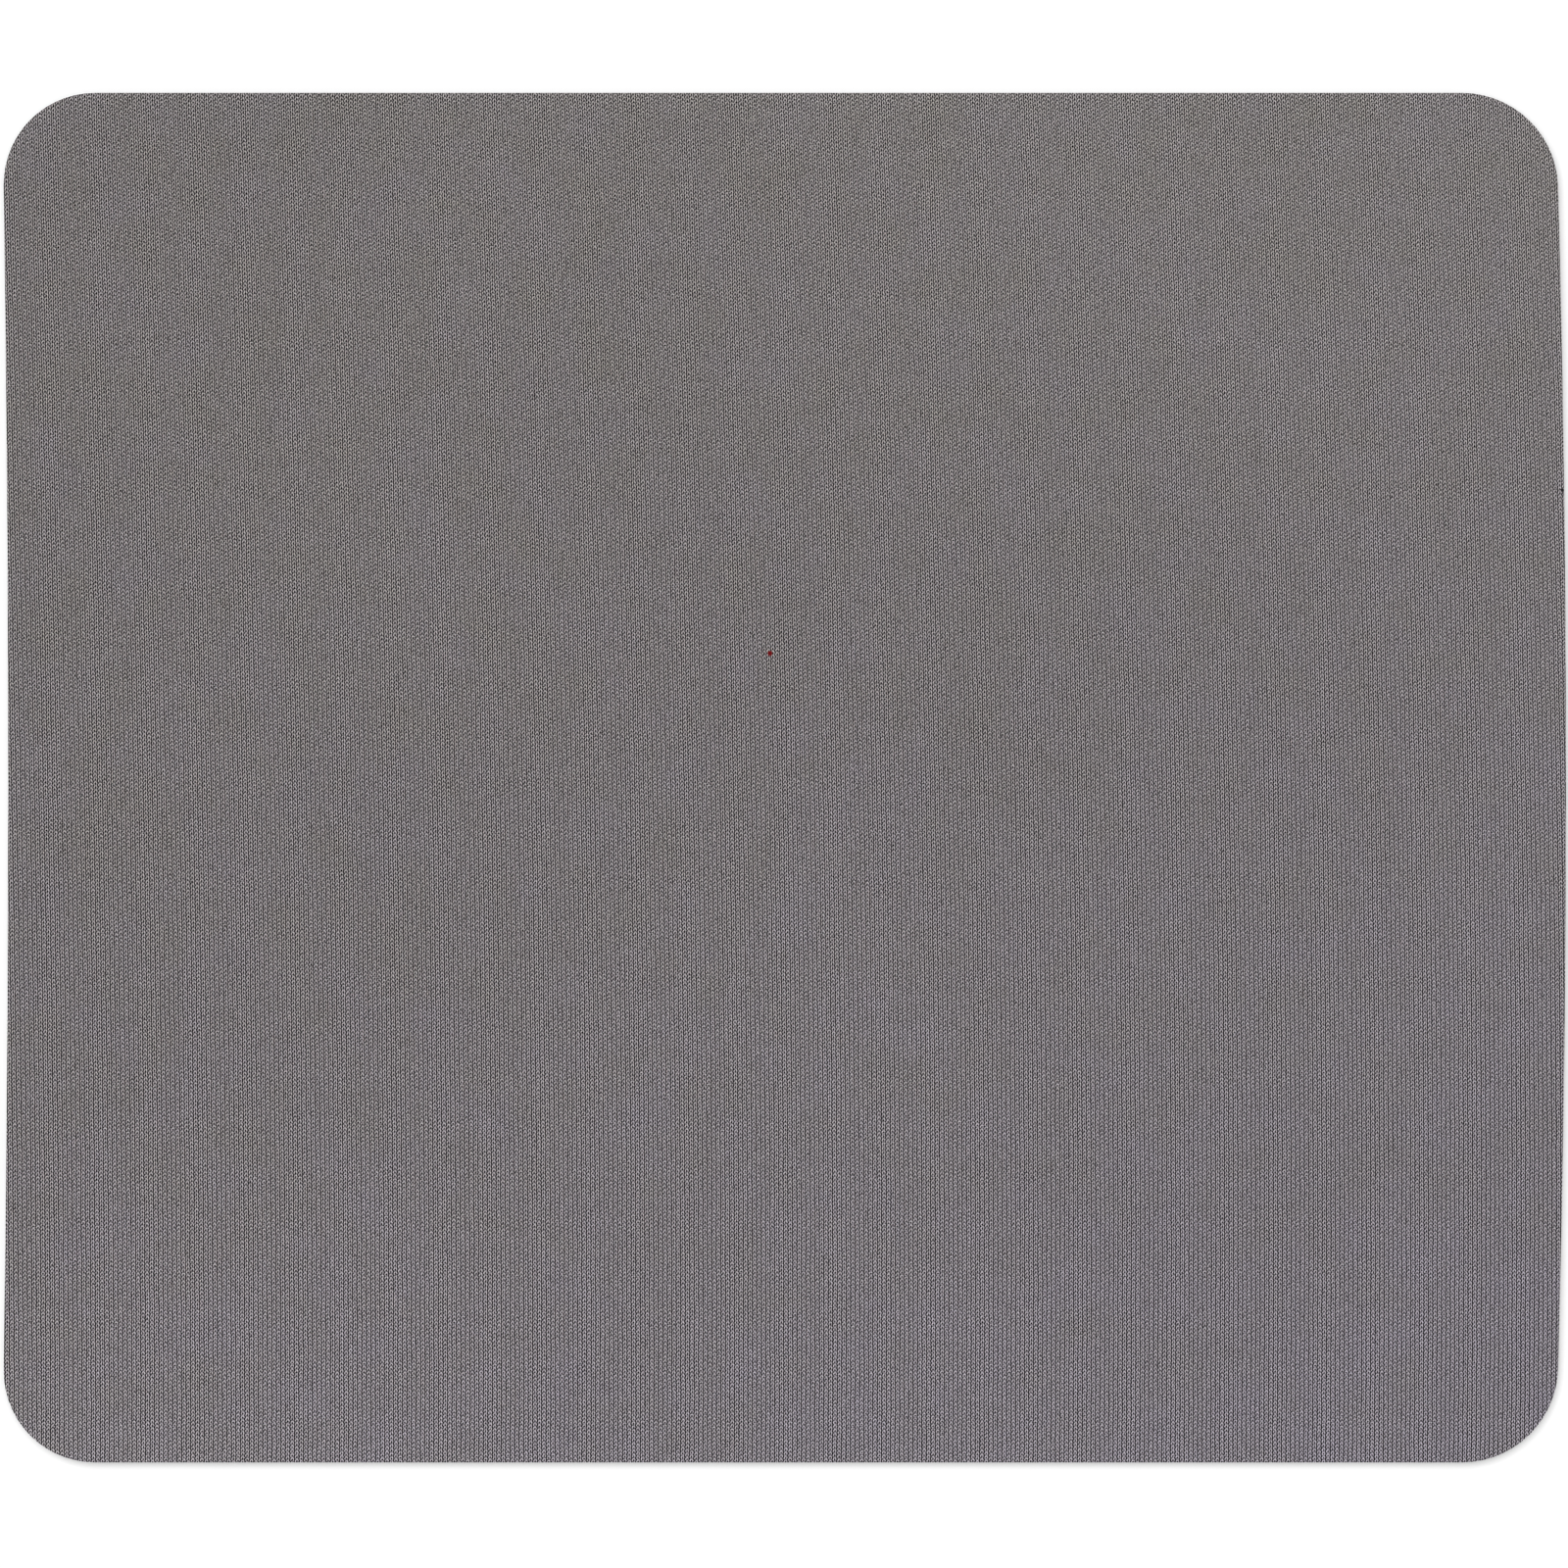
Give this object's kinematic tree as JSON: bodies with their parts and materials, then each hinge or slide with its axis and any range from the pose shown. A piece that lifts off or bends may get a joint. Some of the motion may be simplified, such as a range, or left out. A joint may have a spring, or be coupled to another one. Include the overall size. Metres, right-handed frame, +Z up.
{
  "type": "mouse pad",
  "caption": "Thin rectangular cloth mouse pad with rounded corners: grey knit face bonded to a dark foam rubber base with a ribbed anti-slip underside.",
  "frame": {"origin": "on the desk, under the middle of the pad", "axes": "+Z up out of the cloth face, +X along the pad's width to the right, +Y towards its back edge"},
  "size_m": [0.25, 0.22, 0.003],
  "materials": {
    "knit": "matt grey weft knit with a brushed look, darker between the wales",
    "film": "milky hot-melt film, seen only at the cut edge",
    "foam": "near-black closed-cell foam rubber, open pores on the cut edge, skinned and embossed underside"
  },
  "bodies": {
    "root": {"knit_cloth": "knit", "adhesive_film": "film", "foam_base": "foam"}
  },
  "joints": []
}
